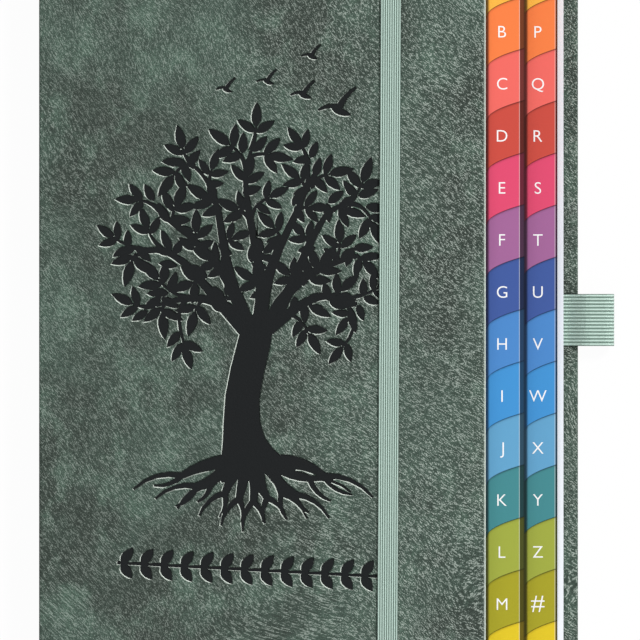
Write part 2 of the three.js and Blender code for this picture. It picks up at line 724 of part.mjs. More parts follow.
// Pages and index tabs
const tabs = [FIRST_COLUMN, SECOND_COLUMN].flatMap((column, side) =>
  Array.from({ length: TABS_IN_COLUMN }, (_, row) => ({
    column,
    row,
    index: side * TABS_IN_COLUMN + row,
  })),
);
addPart("page_block", geometryOf(pageBlock(tabs)), PAGE_PAPER);
tabs.forEach(({ column, row, index }) => {
  const [low, high] = tabHeights(index);
  addPart(`tab_${TAB_NAMES[index]}`, slab(indexTab(column, row), low, high), TAB_COLOURS[row]);
});

export default group;
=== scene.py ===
"""Looks of the address book: leathercloth, pages, printed tabs, elastic, light and camera."""

import logging
import math
import string
from dataclasses import dataclass, field
from enum import Enum
from typing import Any, Iterable, Sequence, Union

import bmesh
import bpy
from mathutils import Matrix, Vector

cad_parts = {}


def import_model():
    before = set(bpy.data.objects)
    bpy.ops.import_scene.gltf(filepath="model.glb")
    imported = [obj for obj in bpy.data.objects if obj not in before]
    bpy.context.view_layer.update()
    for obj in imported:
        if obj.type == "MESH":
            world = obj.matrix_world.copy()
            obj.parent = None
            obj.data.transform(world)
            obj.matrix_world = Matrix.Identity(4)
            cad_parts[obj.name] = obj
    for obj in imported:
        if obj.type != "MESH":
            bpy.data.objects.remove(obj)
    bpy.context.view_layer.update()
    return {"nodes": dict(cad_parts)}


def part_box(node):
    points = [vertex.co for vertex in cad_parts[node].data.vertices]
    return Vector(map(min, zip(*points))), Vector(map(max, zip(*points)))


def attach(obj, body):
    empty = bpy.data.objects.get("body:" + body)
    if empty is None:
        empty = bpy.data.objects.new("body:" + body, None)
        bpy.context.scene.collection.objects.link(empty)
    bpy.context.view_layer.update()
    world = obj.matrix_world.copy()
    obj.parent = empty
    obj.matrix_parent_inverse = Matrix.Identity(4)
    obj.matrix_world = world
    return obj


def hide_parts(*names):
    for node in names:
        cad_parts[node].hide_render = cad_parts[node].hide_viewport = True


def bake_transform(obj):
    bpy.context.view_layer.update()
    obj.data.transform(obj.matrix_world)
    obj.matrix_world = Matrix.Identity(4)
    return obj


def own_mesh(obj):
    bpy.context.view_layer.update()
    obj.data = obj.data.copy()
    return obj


LOG = logging.getLogger("address_book")
MM = 0.001

# The sockets of a Mix node that carry colour.
MIX_SHARE, MIX_LOW, MIX_HIGH, MIX_RESULT = 0, 6, 7, 2

Colour = tuple[int, int, int]
Range = tuple[float, float]
Vec3 = tuple[float, float, float]


def linear(colour: Colour, gain: float = 1.0) -> tuple[float, float, float, float]:
    """An 8-bit sRGB colour as the linear colour that a shader takes.

    Args:
        colour: Red, green and blue from 0 to 255.
        gain: Factor on the linear values.

    Returns:
        Red, green, blue and alpha.
    """

    def one(value: float) -> float:
        share = value / 255
        straight = share / 12.92 if share <= 0.04045 else ((share + 0.055) / 1.055) ** 2.4
        return min(1.0, straight * gain)

    return (one(colour[0]), one(colour[1]), one(colour[2]), 1.0)


class Link:
    """A shader socket that can be used in Python expressions."""

    def __init__(self, shader: "Shader", socket: bpy.types.NodeSocket) -> None:
        """Wraps one output socket of a shader's node."""
        self.shader = shader
        self.socket = socket

    def _math(self, operation: str, *values: "Value") -> "Link":
        """Adds one Math node to the shader."""
        return self.shader.node("ShaderNodeMath", {"operation": operation}, list(values))

    def __add__(self, other: "Value") -> "Link":
        """This plus other."""
        return self._math("ADD", self, other)

    def __radd__(self, other: "Value") -> "Link":
        """Other plus this."""
        return self._math("ADD", other, self)

    def __sub__(self, other: "Value") -> "Link":
        """This minus other."""
        return self._math("SUBTRACT", self, other)

    def __rsub__(self, other: "Value") -> "Link":
        """Other minus this."""
        return self._math("SUBTRACT", other, self)

    def __mul__(self, other: "Value") -> "Link":
        """This times other."""
        return self._math("MULTIPLY", self, other)

    def __rmul__(self, other: "Value") -> "Link":
        """Other times this."""
        return self._math("MULTIPLY", other, self)

    def __truediv__(self, other: "Value") -> "Link":
        """This divided by other."""
        return self._math("DIVIDE", self, other)

    def __gt__(self, other: "Value") -> "Link":
        """1 where this is greater than other."""
        return self._math("GREATER_THAN", self, other)

    def __pow__(self, other: "Value") -> "Link":
        """This to a power."""
        return self._math("POWER", self, other)

    def cosine(self) -> "Link":
        """The cosine of this."""
        return self._math("COSINE", self)

    def sine(self) -> "Link":
        """The sine of this."""
        return self._math("SINE", self)

    def root(self) -> "Link":
        """The square root of this, and 0 below 0."""
        return self._math("SQRT", self._math("MAXIMUM", self, 0.0))

    def ramp(self, low: float, high: float) -> "Link":
        """0 at low and below, 1 at high and above, and smooth between them."""
        return self.shader.node(
            "ShaderNodeMapRange",
            {"interpolation_type": "SMOOTHSTEP", "clamp": True},
            {"Value": self, "From Min": low, "From Max": high},
        )

    def band(self, low: float, high: float, soft: float) -> "Link":
        """1 between low and high, and 0 outside, with soft edges."""
        return self.ramp(low - soft, low + soft) * (1 - self.ramp(high - soft, high + soft))


Value = Union[Link, float, Sequence[float]]


class Shader:
    """Builds one procedural material."""

    def __init__(self, name: str) -> None:
        """Starts an empty material of that name."""
        self.material = bpy.data.materials.new(name)
        self.material.use_nodes = True
        self.tree = self.material.node_tree
        self.tree.nodes.clear()

    def node(
        self,
        kind: str,
        settings: dict[str, Any] | None = None,
        inputs: dict[str | int, Value] | Sequence[Value] | None = None,
        output: str | int = 0,
    ) -> Link:
        """Adds any node.

        Args:
            kind: The node's type.
            settings: Its own options, which are set first.
            inputs: Values or links by socket name or number, or in order.
            output: The output socket to return.

        Returns:
            That output, for use in expressions.
        """
        made = self.tree.nodes.new(kind)
        for name, value in (settings or {}).items():
            setattr(made, name, value)
        pairs = inputs.items() if isinstance(inputs, dict) else enumerate(inputs or [])
        for key, value in pairs:
            socket = made.inputs[key]
            if isinstance(value, Link):
                self.tree.links.new(value.socket, socket)
            else:
                socket.default_value = value
        return Link(self, made.outputs[output])

    def split(self, vector: Link) -> tuple[Link, Link, Link]:
        """The X, Y and Z of a vector."""
        outputs = self.node("ShaderNodeSeparateXYZ", None, [vector]).socket.node.outputs
        return Link(self, outputs[0]), Link(self, outputs[1]), Link(self, outputs[2])

    def place(self) -> tuple[Link, Link, Link]:
        """The point on the piece in the frame's own X, Y and Z, in millimetres."""
        raw = self.node("ShaderNodeTexCoord", output="Object")
        inputs = {0: raw, "Scale": 1 / MM}
        return self.split(self.node("ShaderNodeVectorMath", {"operation": "SCALE"}, inputs))

    def normal(self) -> tuple[Link, Link, Link]:
        """The way the surface faces, in the piece's own frame."""
        return self.split(self.node("ShaderNodeTexCoord", output="Normal"))

    def stack(self, x: Value, y: Value, z: Value) -> Link:
        """Three values as one vector."""
        return self.node("ShaderNodeCombineXYZ", None, [x, y, z])

    def noise(self, where: Link, scale: float, detail: float = 2.0, rough: float = 0.5) -> Link:
        """Smooth noise from 0 to 1."""
        return self.node(
            "ShaderNodeTexNoise",
            None,
            {"Vector": where, "Scale": scale, "Detail": detail, "Roughness": rough},
        )

    def mix(self, share: Value, low: Value, high: Value) -> Link:
        """A colour between two."""
        inputs = {MIX_SHARE: share, MIX_LOW: low, MIX_HIGH: high}
        return self.node("ShaderNodeMix", {"data_type": "RGBA"}, inputs, MIX_RESULT)

    def bump(self, height: Link, depth: float) -> Link:
        """A surface normal from a height of 0 to 1 times a depth in metres."""
        inputs = {"Height": height, "Distance": depth, "Strength": 1.0}
        return self.node("ShaderNodeBump", None, inputs)

    def end(self, shading: Link) -> bpy.types.Material:
        """Joins a shading to the material's output, and returns the material."""
        output = self.tree.nodes.new("ShaderNodeOutputMaterial")
        self.tree.links.new(shading.socket, output.inputs[0])
        return self.material

    def surface(self, **inputs: Value) -> bpy.types.Material:
        """Ends the material with one Principled surface.

        Args:
            **inputs: Socket values or links, with underscores for spaces.

        Returns:
            The finished material.
        """
        sockets = {name.replace("_", " "): value for name, value in inputs.items()}
        return self.end(self.node("ShaderNodeBsdfPrincipled", None, sockets))


class Press(Enum):
    """Whether a piece of leathercloth carries the pressed ornament."""

    PLAIN = "plain"
    ORNAMENT = "ornament"


@dataclass(frozen=True)
class Leathercloth:
    """Soft grained leathercloth with cloudy tone, painted highlights on its grain and painted
    shade in its creases, pressed near black where it is stamped, partly its own darkening and
    partly painted shade.

    Places and widths are in millimetres, depths in metres. A range is the two noise values, or the
    two places, between which a ramp runs.
    """

    middle: Colour = (72, 92, 81)
    light: Colour = (90, 116, 101)
    dark: Colour = (54, 66, 58)
    # The colour of the painted highlights on the ridges of the grain.
    glint_colour: Colour = (206, 218, 208)
    # Near black of the stamped floor, partly the press's own darkening and partly painted shade in
    # the hollow, and also the painted shade on walls that face away from the light.
    pressed: Colour = (4, 10, 13)
    # The colour of the painted highlight along the right edge and on the ornament's lit walls.
    rim_highlight: Colour = (222, 232, 222)
    rim_x: float = 48.5
    rim_width: float = 0.7
    rim_highlight_share: float = 0.85
    grain_depth: float = 0.00024
    grain_angle: float = math.radians(-45)
    grain_swing: float = 0.5
    grain_fan: float = 0.0016
    wrinkles: Vec3 = (0.9, 3.4, 1.2)
    fine_wrinkles: Vec3 = (3.0, 4.6, 2.0)
    pore_scale: float = 4.0
    cloud_scale: float = 0.035
    cloud_range: Range = (0.36, 0.66)
    haze_scale: float = 0.11
    haze_range: Range = (0.45, 0.75)
    haze_share: float = 0.75
    # Where and how strongly the painted highlights on the grain show.
    glint_range: Range = (0.535, 0.6)
    glint_least: float = 0.2
    glint_haze: float = 0.1
    glint_side: float = 0.28
    side_range: Range = (-50.0, 50.0)
    # Painted shade in the creases of the grain.
    crease_range: Range = (0.4, 0.5)
    crease_share: float = 0.5
    crease_gain: float = 0.25
    ornament_x: Range = (-70.0, 46.0)
    ornament_y: Range = (-100.0, 100.0)
    floor_depths: Range = (0.5, 0.34)
    wall_depths: Range = (0.34, 0.02)
    depth_soft: float = 0.03
    edge_soft: float = 0.2
    light_way: tuple[float, float] = (0.8, 0.6)
    light_range: Range = (-0.1, 0.5)

    def build(self, name: str, press: Press = Press.PLAIN, top: float = 0.0) -> bpy.types.Material:
        """Makes the material.

        Args:
            name: Name of the material.
            press: Whether the pressed ornament shows.
            top: Height of the cloth's outer face, in millimetres.

        Returns:
            The material.
        """
        s = Shader(name)
        x, y, z = s.place()
        pores = s.noise(s.stack(x, y, z), self.pore_scale, 0.0)
        grain = self._grain(s, x, y, z, pores)
        clouds = s.noise(s.stack(x, y, z), self.cloud_scale, 3.0, 0.55)
        haze = s.noise(s.stack(x, y * 0.8, z + 40.0), self.haze_scale, 3.0, 0.6)
        side = x.ramp(*self.side_range)
        base = s.mix(clouds.ramp(*self.cloud_range), linear(self.dark), linear(self.middle))
        base = s.mix(haze.ramp(*self.haze_range) * self.haze_share, base, linear(self.light))
        # Painted highlights on the ridges of the grain, stronger where the haze is lighter and
        # towards +x.
        grain_glints = grain.ramp(*self.glint_range) * (0.75 + 0.25 * pores.ramp(0.42, 0.58))
        strength = self.glint_least + self.glint_haze * haze.ramp(0.35, 0.6)
        grain_glints = grain_glints * (strength + self.glint_side * side)
        # Painted shade in the creases of the grain.
        crease_shade = 1 - grain.ramp(*self.crease_range)
        base = s.mix(crease_shade * self.crease_share, base, linear(self.dark, self.crease_gain))
        base = s.mix(grain_glints, base, linear(self.glint_colour))
        height = grain * 0.6 + pores * 0.4
        rough = 0.5 + 0.16 * pores - 0.1 * grain_glints
        if press is Press.ORNAMENT:
            inside = x.band(*self.ornament_x, self.edge_soft)
            inside = inside * y.band(*self.ornament_y, self.edge_soft)
            sunk = self._between(z, top, self.floor_depths) * inside
            wall = self._between(z, top, self.wall_depths) * inside
            base = self._pressed(s, x, base, pores, sunk, wall)
            rough = rough + 0.04 * sunk
            height = height * (1 - 0.85 * sunk)
        return s.surface(
            Base_Color=base,
            Roughness=rough,
            Normal=s.bump(height, self.grain_depth),
            Specular_IOR_Level=0.25,
        )

    def _grain(self, s: Shader, x: Link, y: Link, z: Link, pores: Link) -> Link:
        """Fine wrinkles that run one way, fan out a little, and are broken up by the pores."""
        drift = (s.noise(s.stack(x, y, z), 0.02, 1.0) - 0.5) * self.grain_swing
        turn = drift + self.grain_angle + x * self.grain_fan
        cos, sin = turn.cosine(), turn.sine()
        along = x * cos + y * sin
        across = y * cos - x * sin
        wander = s.noise(s.stack(x, y, z), 0.5, 2.0) * 0.6
        coarse, fine = (
            s.noise(s.stack(along * size[0], across * size[1] + wander, z * size[2]), 1.0, 0.0)
            for size in (self.wrinkles, self.fine_wrinkles)
        )
        return 0.4 * coarse + 0.3 * fine + 0.3 * pores

    def _between(self, z: Link, top: float, depths: Range) -> Link:
        """1 between two depths below the top, the deeper one first, and 0 elsewhere."""
        return z.band(top - depths[0], top - depths[1], self.depth_soft)

    def _pressed(self, s: Shader, x: Link, base: Link, pores: Link, sunk: Link, wall: Link
                 ) -> Link:
        """The cloth with a painted highlight along its right edge, the floor near black from the
        press and from painted shade, and walls with painted highlight facing the light and painted
        shade elsewhere.
        """
        # A painted highlight along the cover's right edge, where its rounded edge catches the
        # light.
        rim = x.ramp(self.rim_x - self.rim_width, self.rim_x)
        # The stamped floor: near black, partly the press's own darkening and partly painted shade
        # in the hollow.
        ink = s.mix(pores * 0.4, linear(self.pressed), linear(self.pressed, 0.5))
        # Painted light on the walls: a painted highlight where they face the light's way, painted
        # shade on the others.
        facing = s.normal()
        lit = (self.light_way[0] * facing[0] + self.light_way[1] * facing[1]).ramp(
            *self.light_range)
        walls = s.mix(lit, linear(self.pressed), linear(self.rim_highlight))
        base = s.mix(self.rim_highlight_share * rim, base, linear(self.rim_highlight))
        base = s.mix(wall * (0.5 + 0.45 * lit), base, walls)
        return s.mix(sunk, base, ink)


@dataclass(frozen=True)
class PageEdges:
    """White paper whose edges show as a stack of fine leaves, with painted shade between them."""

    paper: Colour = (243, 247, 253)
    # The colour of the painted shade between the leaves, also the darker tone of the fibres.
    between: Colour = (196, 194, 188)
    leaf: float = 0.105
    leaf_drift: float = 0.12
    leaf_share: float = 0.45
    bundle_share: float = 0.4
    fibre_share: float = 0.06
    relief: float = 0.00004

    def build(self, name: str) -> bpy.types.Material:
        """Makes the material of that name."""
        s = Shader(name)
        x, y, z = s.place()
        drift = s.noise(s.stack(x * 0.2, y * 0.2, z), 0.35, 2.0) * self.leaf_drift
        leaves = ((z + drift) / self.leaf * 2 * math.pi).cosine() * 0.5 + 0.5
        bundles = s.noise(s.stack(x * 0.02, y * 0.02, z * 3.0), 1.0, 3.0, 0.7)
        up = s.normal()[2]
        flat = (up * up).ramp(0.3, 0.6)
        # Painted shade in lines between the leaves on the edges, stronger in some bands.
        marks = self.leaf_share * leaves + self.bundle_share * bundles.ramp(0.35, 0.7)
        leaf_gap_shade = (1 - flat) * marks
        fibre = s.noise(s.stack(x, y, z), 6.0, 3.0, 0.7)
        base = s.mix(leaf_gap_shade, linear(self.paper), linear(self.between))
        base = s.mix(fibre * self.fibre_share, base, linear(self.between))
        return s.surface(
            Base_Color=base,
            Roughness=0.85 + 0.08 * fibre,
            Normal=s.bump(leaves * (1 - flat) + 0.2 * fibre, self.relief),
            Specular_IOR_Level=0.2,
        )


@dataclass(frozen=True)
class PlainSheet:
    """A fibrous sheet material, such as grey board, endpaper or gauze."""

    low: Colour
    high: Colour
    fibre_scale: float
    depth: float
    roughness: float = 0.9
    fibre_range: Range = (0.3, 0.7)
    speck_fineness: float = 3.1
    speck_range: Range = (0.6, 0.75)
    speck_share: float = 0.35
    speck_gain: float = 0.75

    def build(self, name: str) -> bpy.types.Material:
        """Makes the material of that name."""
        s = Shader(name)
        x, y, z = s.place()
        fibre = s.noise(s.stack(x, y * 0.5, z), self.fibre_scale, 4.0, 0.7)
        specks = s.noise(s.stack(x, y, z), self.fibre_scale * self.speck_fineness, 2.0)
        share = specks.ramp(*self.speck_range) * self.speck_share
        base = s.mix(fibre.ramp(*self.fibre_range), linear(self.low), linear(self.high))
        base = s.mix(share, base, linear(self.low, self.speck_gain))
        return s.surface(
            Base_Color=base,
            Roughness=self.roughness,
            Normal=s.bump(fibre, self.depth),
            Specular_IOR_Level=0.2,
        )


@dataclass(frozen=True)
class WovenBand:
    """Ribbed elastic: cords side by side, each wrapped in fine diagonal threads, with painted
    highlight on the crests, painted shade in the grooves and a painted shadow along one side.
    """

    # The colour of the painted highlight on the crests.
    crest: Colour = (228, 255, 243)
    # The colour of the painted shade in the grooves and along one side, also the fuzz's darker
    # tone.
    groove: Colour = (94, 124, 110)
    thread_pitch: float = 0.34
    thread_lean: float = 0.9
    thread_share: float = 0.22
    fuzz_share: float = 0.22
    shadow_insets: Range = (0.22, 0.06)
    shadow_share: float = 0.8
    shadow_gain: float = 0.4
    relief: float = 0.00022

    def build(self, name: str, centre: Vec3, slant: float, ribs: int, width: float,
              ribs_across_x: bool) -> bpy.types.Material:
        """Makes the material.

        Args:
            name: Name of the material.
            centre: A point on the band's centre line, in millimetres.
            slant: Clockwise turn of the band, in degrees.
            ribs: Number of cords.
            width: Width of the band, in millimetres.
            ribs_across_x: Whether the cords lie side by side along X, and else along Y.

        Returns:
            The material.
        """
        s = Shader(name)
        x, y, z = s.place()
        turn = math.tan(math.radians(slant))
        if ribs_across_x:
            across, along = (x - centre[0]) - (y - centre[1]) * turn, y + z
        else:
            across, along = y - centre[1], x + z
        cycle = across / (width / ribs) + ribs / 2
        rib = 0.5 - 0.5 * (cycle * 2 * math.pi).cosine()
        thread = along / self.thread_pitch + self.thread_lean * cycle
        threads = (thread * 2 * math.pi).cosine() * 0.5 + 0.5
        fuzz = s.noise(s.stack(x, y, z), 5.0, 3.0, 0.7)
        # Painted highlight on the cords' crests, painted shade in the grooves and between the
        # threads.
        shade = (rib ** 0.6) * (1 - self.thread_share + self.thread_share * threads)
        base = s.mix(shade, linear(self.groove), linear(self.crest))
        # A painted shadow along the band's side where across is largest.
        side = across.ramp(*(width / 2 - inset for inset in self.shadow_insets))
        base = s.mix(fuzz * self.fuzz_share, base, linear(self.groove))
        base = s.mix(side * self.shadow_share, base, linear(self.groove, self.shadow_gain))
        return s.surface(
            Base_Color=base,
            Roughness=0.78,
            Normal=s.bump(rib + self.thread_share * threads + 0.12 * fuzz, self.relief),
            Sheen_Weight=0.25,
            Specular_IOR_Level=0.25,
        )


@dataclass(frozen=True)
class TabPrint:
    """Printed tab paper under a clear film whose margin carries painted shade as a darker rim,
    with a painted highlight along the paper's edge and painted shade where the tabs overlap.

    Each shade is the share of the dark colour at its own place on the tab.
    """

    # The colour of the painted highlight along the paper's edge.
    line: Colour = (255, 255, 250)
    line_share: float = 0.35
    rim_shade_gain: float = 0.17
    shade_gain: float = 0.12
    under_shade: float = 0.2
    hollow_shade: float = 0.3
    crack_shade: float = 0.78
    edge_shade_gain: float = 0.05
    foot_shade: float = 0.8
    gap_shade: float = 0.7
    relief: float = 0.00001

    def build(self, name: str, colour: Colour, tab: "IndexColumn", row: int) -> bpy.types.Material:
        """Makes one tab's material.

        Args:
            name: Name of the material.
            colour: The tab's printed colour.
            tab: The column that the tab is in.
            row: Its row, from the head.

        Returns:
            The material.
        """
        s = Shader(name)
        x, y, z = s.place()
        share = ((x - tab.curve_start) / (tab.edge - tab.curve_start)).root()
        lower = y - (tab.first_boundary - row * tab.pitch) - share * tab.rise
        # Painted shade on the film's margin, standing for the shaded layer seen through the clear
        # film.
        rim = x.ramp(tab.face_end - 0.05, tab.face_end + 0.05)
        gap = x.ramp(tab.edge - 0.4, tab.edge - 0.1)
        # A painted highlight along the paper's edge under the film.
        line = x.band(tab.face_end - 0.2, tab.face_end - 0.02, 0.05) * self.line_share
        foot = 1 - lower.ramp(0.02, 0.2)
        under = lower.ramp(tab.pitch - 0.9, tab.pitch - 0.1)
        hollow = 1 - x.ramp(tab.face_start - 0.2, tab.face_start + 1.5)
        crack = 1 - x.ramp(tab.face_start + 0.5, tab.face_start + 1.2)
        fibre = s.noise(s.stack(x, y, z), 3.0, 3.0, 0.6)
        face = s.mix(0.1 * fibre, linear(colour), linear(colour, 0.8))
        face = s.mix(line, face, linear(self.line))
        shade = under * self.under_shade + hollow * self.hollow_shade + crack * self.crack_shade
        face = s.mix(shade, face, linear(colour, self.shade_gain))
        base = s.mix(rim, face, linear(colour, self.rim_shade_gain))
        # Painted shade: a dark line under each tab's lower edge and in the gap at the column's
        # outer edge.
        edges = foot * self.foot_shade + gap * self.gap_shade
        base = s.mix(edges, base, linear(colour, self.edge_shade_gain))
        return s.surface(
            Base_Color=base,
            Roughness=0.4 + 0.1 * fibre,
            Normal=s.bump(fibre, self.relief),
            Specular_IOR_Level=0.2,
        )


def link(name: str, data: bpy.types.ID) -> bpy.types.Object:
    """Puts data into the scene as an object of that name."""
    made = bpy.data.objects.new(name, data)
    bpy.context.scene.collection.objects.link(made)
    return made


def mesh_object(
    name: str, points: Iterable[Vec3], faces: Iterable[Sequence[int]]
) -> bpy.types.Object:
    """A new mesh object in the scene, from points in metres.

    Args:
        name: Name of the object.
        points: Its vertices.
        faces: Its faces, as vertex numbers.

    Returns:
        The object.
    """
    mesh = bpy.data.meshes.new(name)
    mesh.from_pydata([tuple(p) for p in points], [], [tuple(f) for f in faces])
    mesh.validate()
    mesh.update()
    return link(name, mesh)


# How text is outlined, at a height of about one unit.
TEXT_EXTRUDE = 0.004
TEXT_THINNING = -0.006
TEXT_STEPS = 5


def outline_text(words: str) -> tuple[bpy.types.Mesh, Vector, Vector]:
    """Plain text as a mesh, with its lowest and highest corners.

    Args:
        words: What it reads.

    Returns:
        The mesh and its box.
    """
    curve = bpy.data.curves.new("text", "FONT")
    curve.body = words
    curve.extrude = TEXT_EXTRUDE
    curve.offset = TEXT_THINNING
    curve.resolution_u = TEXT_STEPS
    text = link("text", curve)
    bpy.context.view_layer.update()
    graph = bpy.context.evaluated_depsgraph_get()
    mesh = bpy.data.meshes.new_from_object(text.evaluated_get(graph))
    bpy.data.objects.remove(text)
    corners = [[v.co[axis] for v in mesh.vertices] for axis in range(3)]
    return mesh, Vector([min(c) for c in corners]), Vector([max(c) for c in corners])


def dress(obj: bpy.types.Object, material: bpy.types.Material) -> None:
    """Gives an object one material all over."""
    if not obj.data.materials:
        obj.data.materials.append(material)
    for slot in obj.material_slots:
        slot.material = material


@dataclass
class Case:
    """The covers and spine: leathercloth, boards, endpapers, and the cloth across both hinges.

    Lengths are in millimetres.
    """

    nodes: dict[str, bpy.types.Object]
    cloth: Leathercloth = field(default_factory=Leathercloth)
    board: PlainSheet = PlainSheet((112, 106, 96), (150, 143, 131), 1.3, 0.00008)
    endpaper: PlainSheet = PlainSheet((226, 223, 212), (240, 238, 230), 2.5, 0.00002)
    strip_near: float = 0.02
    strip_far: float = 0.12
    strip_inset: float = 0.6
    strip_steps: int = 26
    bend_reach: float = 0.9
    press_depth: float = 0.4
    press_slope: float = 0.34
    merge_distance: float = 0.001
    level_slack: float = 0.02
    upright: float = 0.1
    level: float = 0.9
    clear_way: float = 0.3
    least_area: float = 0.3

    def build(self) -> list[bpy.types.Object]:
        """Makes two strips of cloth on the spine's face, from its middle towards each cover.

        Returns:
            The front and the back strip.
        """
        low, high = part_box("spine_skin")
        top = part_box("front_cover_skin")[1].z
        middle = (low.z + high.z) / 2
        hinge_front = (high.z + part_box("front_endpaper")[0].z) / 2
        hinge_back = (low.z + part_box("back_endpaper")[1].z) / 2
        strips = [
            ("front_hinge_cloth", middle, top - self.strip_inset * MM, hinge_front, "front_cover"),
            ("back_hinge_cloth", middle, self.strip_inset * MM, hinge_back, "back_cover"),
        ]
        made = []
        for name, start, end, hinge, body in strips:
            strip = self._strip(name, start, end, low.x, low.y, high.y)
            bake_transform(strip)
            made.append(strip)
        return made

    def press_front(self) -> bpy.types.Object:
        """Copies the front cloth and slopes the walls of its pressed ornament.

        Each point at the top of a wall moves away from the hollow, so that the walls catch light.

        Returns:
            The cloth, which stands for the node front_cover_skin.
        """
        work = bmesh.new()
        work.from_mesh(self.nodes["front_cover_skin"].data)
        bmesh.ops.remove_doubles(work, verts=work.verts, dist=self.merge_distance * MM)
        top = max(vertex.co.z for vertex in work.verts)
        floor = top - (self.press_depth + self.level_slack) * MM
        for vertex in work.verts:
            if vertex.co.z < top - self.level_slack * MM:
                continue
            walls = [
                face for face in vertex.link_faces
                if abs(face.normal.z) < self.upright
                and min(v.co.z for v in face.verts) > floor
            ]
            total = sum((face.normal for face in walls), Vector())
            if total.length > self.clear_way:
                self._widen(vertex, -total.normalized() * self.press_slope * MM)
        mesh = bpy.data.meshes.new("front_cover_cloth")
        work.to_mesh(mesh)
        work.free()
        cloth = link("front_cover_cloth", mesh)
        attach(cloth, "front_cover")
        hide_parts("front_cover_skin")
        return cloth

    def _widen(self, vertex: bmesh.types.BMVert, step: Vector) -> None:
        """Moves a point by a step, or by part of it where a whole step would fold a face over."""
        faces = [face for face in vertex.link_faces if face.normal.z > self.level]
        before = [face.calc_area() for face in faces]
        start = vertex.co.copy()
        for share in (1.0, 0.6, 0.3, 0.0):
            vertex.co = start + step * share
            for face in faces:
                face.normal_update()
            if all(face.normal.z > self.level and face.calc_area() > self.least_area * area
                   for face, area in zip(faces, before)):
                return

    def _strip(self, name: str, start: float, end: float, x: float, low: float, high: float
               ) -> bpy.types.Object:
        """One thin closed strip on the spine's face, fine enough to bend."""
        near, far = x - self.strip_near * MM, x - self.strip_far * MM
        inset = self.strip_inset * MM
        points: list[Vec3] = []
        for step in range(self.strip_steps + 1):
            z = start + (end - start) * step / self.strip_steps
            points += [(near, low + inset, z), (near, high - inset, z),
                       (far, high - inset, z), (far, low + inset, z)]
        faces = []
        for step in range(self.strip_steps):
            for side in range(4):
                a, b = 4 * step + side, 4 * step + (side + 1) % 4
                faces.append((a, b, b + 4, a + 4) if end > start else (a, a + 4, b + 4, b))
        last = 4 * self.strip_steps
        ends = [(3, 2, 1, 0), (last, last + 1, last + 2, last + 3)]
        faces += ends if end > start else [tuple(reversed(f)) for f in ends]
        return mesh_object(name, points, faces)

    def dress(self, front: bpy.types.Object, strips: list[bpy.types.Object]) -> None:
        """Gives every piece of the case its material."""
        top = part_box("front_cover_skin")[1].z / MM
        plain = self.cloth.build("leathercloth")
        dress(front, self.cloth.build("leathercloth_pressed", Press.ORNAMENT, top))
        for obj in [self.nodes["back_cover_skin"], self.nodes["spine_skin"], *strips]:
            dress(obj, plain)
        board, paper = self.board.build("greyboard"), self.endpaper.build("endpaper")
        for node in ("front_board", "back_board", "spine_board"):
            dress(self.nodes[node], board)
        for node in ("front_endpaper", "back_endpaper"):
            dress(self.nodes[node], paper)


@dataclass
class Pages:
    """The sewn block with its lining and the bands at head and tail."""

    nodes: dict[str, bpy.types.Object]
    edges: PageEdges = field(default_factory=PageEdges)
    gauze: PlainSheet = PlainSheet((190, 184, 166), (222, 218, 204), 3.0, 0.0001)
    band: WovenBand = WovenBand((214, 232, 220), (96, 128, 112))

    def dress(self) -> None:
        """Gives the block, lining and bands their materials."""
        dress(self.nodes["page_block"], self.edges.build("pages"))
        dress(self.nodes["spine_lining"], self.gauze.build("lining"))
        low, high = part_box("head_band")
        centre = ((low.x + high.x) / 2 / MM, 0.0, 0.0)
        band = self.band.build("band", centre, 0.0, 3, (high.x - low.x) / MM, True)
        for node in ("head_band", "tail_band"):
            dress(self.nodes[node], band)


@dataclass
class IndexColumn:
    """One column of index tabs, with its printed letters. Sizes are in millimetres."""

    nodes: dict[str, bpy.types.Object]
    names: list[str]
    marks: list[str]
    edge: float
    face_start: float
    face_end: float
    curve_start: float
    letter_x: float
    pitch: float = 14.3
    rise: float = 5.66
    first_boundary: float = 83.3
    first_letter_y: float = 93.5
    cap_height: float = 3.14
    sign_height: float = 4.45
    letter_thickness: float = 0.03
    letter_lift: float = 0.01
    print_: TabPrint = field(default_factory=TabPrint)

    def build(self) -> list[bpy.types.Object]:
        """Makes the printed letters of the column.

        Returns:
            One flat mesh for each letter.
        """
        made = []
        for row, (name, mark) in enumerate(zip(self.names, self.marks)):
            if not mark:
                continue
            height = self.cap_height if mark.isalpha() else self.sign_height
            letter = self._letter(f"{name}_print", mark, height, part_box(name)[1].z,
                                  self.first_letter_y - row * self.pitch)
            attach(letter, "text_block")
            made.append(letter)
        return made

    def _letter(self, name: str, mark: str, height: float, top: float, y: float
                ) -> bpy.types.Object:
        """One letter as a thin mesh that lies on its tab, with its middle height at y."""
        mesh, low, high = outline_text(mark)
        _, cap_low, cap_high = outline_text("H" if mark.isalpha() else mark)
        scale = height * MM / (cap_high.y - cap_low.y)
        centre = Vector(((low.x + high.x) / 2, (cap_low.y + cap_high.y) / 2, 0))
        flat = self.letter_thickness * MM / (2 * high.z)
        lift = top + (self.letter_thickness / 2 + self.letter_lift) * MM
        mesh.transform(
            Matrix.Translation((self.letter_x * MM, y * MM, lift))
            @ Matrix.Diagonal((scale, scale, flat, 1))
            @ Matrix.Translation(-centre)
        )
        mesh.name = name
        return link(name, mesh)

    def dress(self, letters: list[bpy.types.Object], colours: list[Colour],
              ink: bpy.types.Material) -> None:
        """Gives the tabs their colours and the letters their white ink."""
        for row, name in enumerate(self.names):
            dress(self.nodes[name], self.print_.build(f"{name}_paper", colours[row], self, row))
        for letter in letters:
            dress(letter, ink)


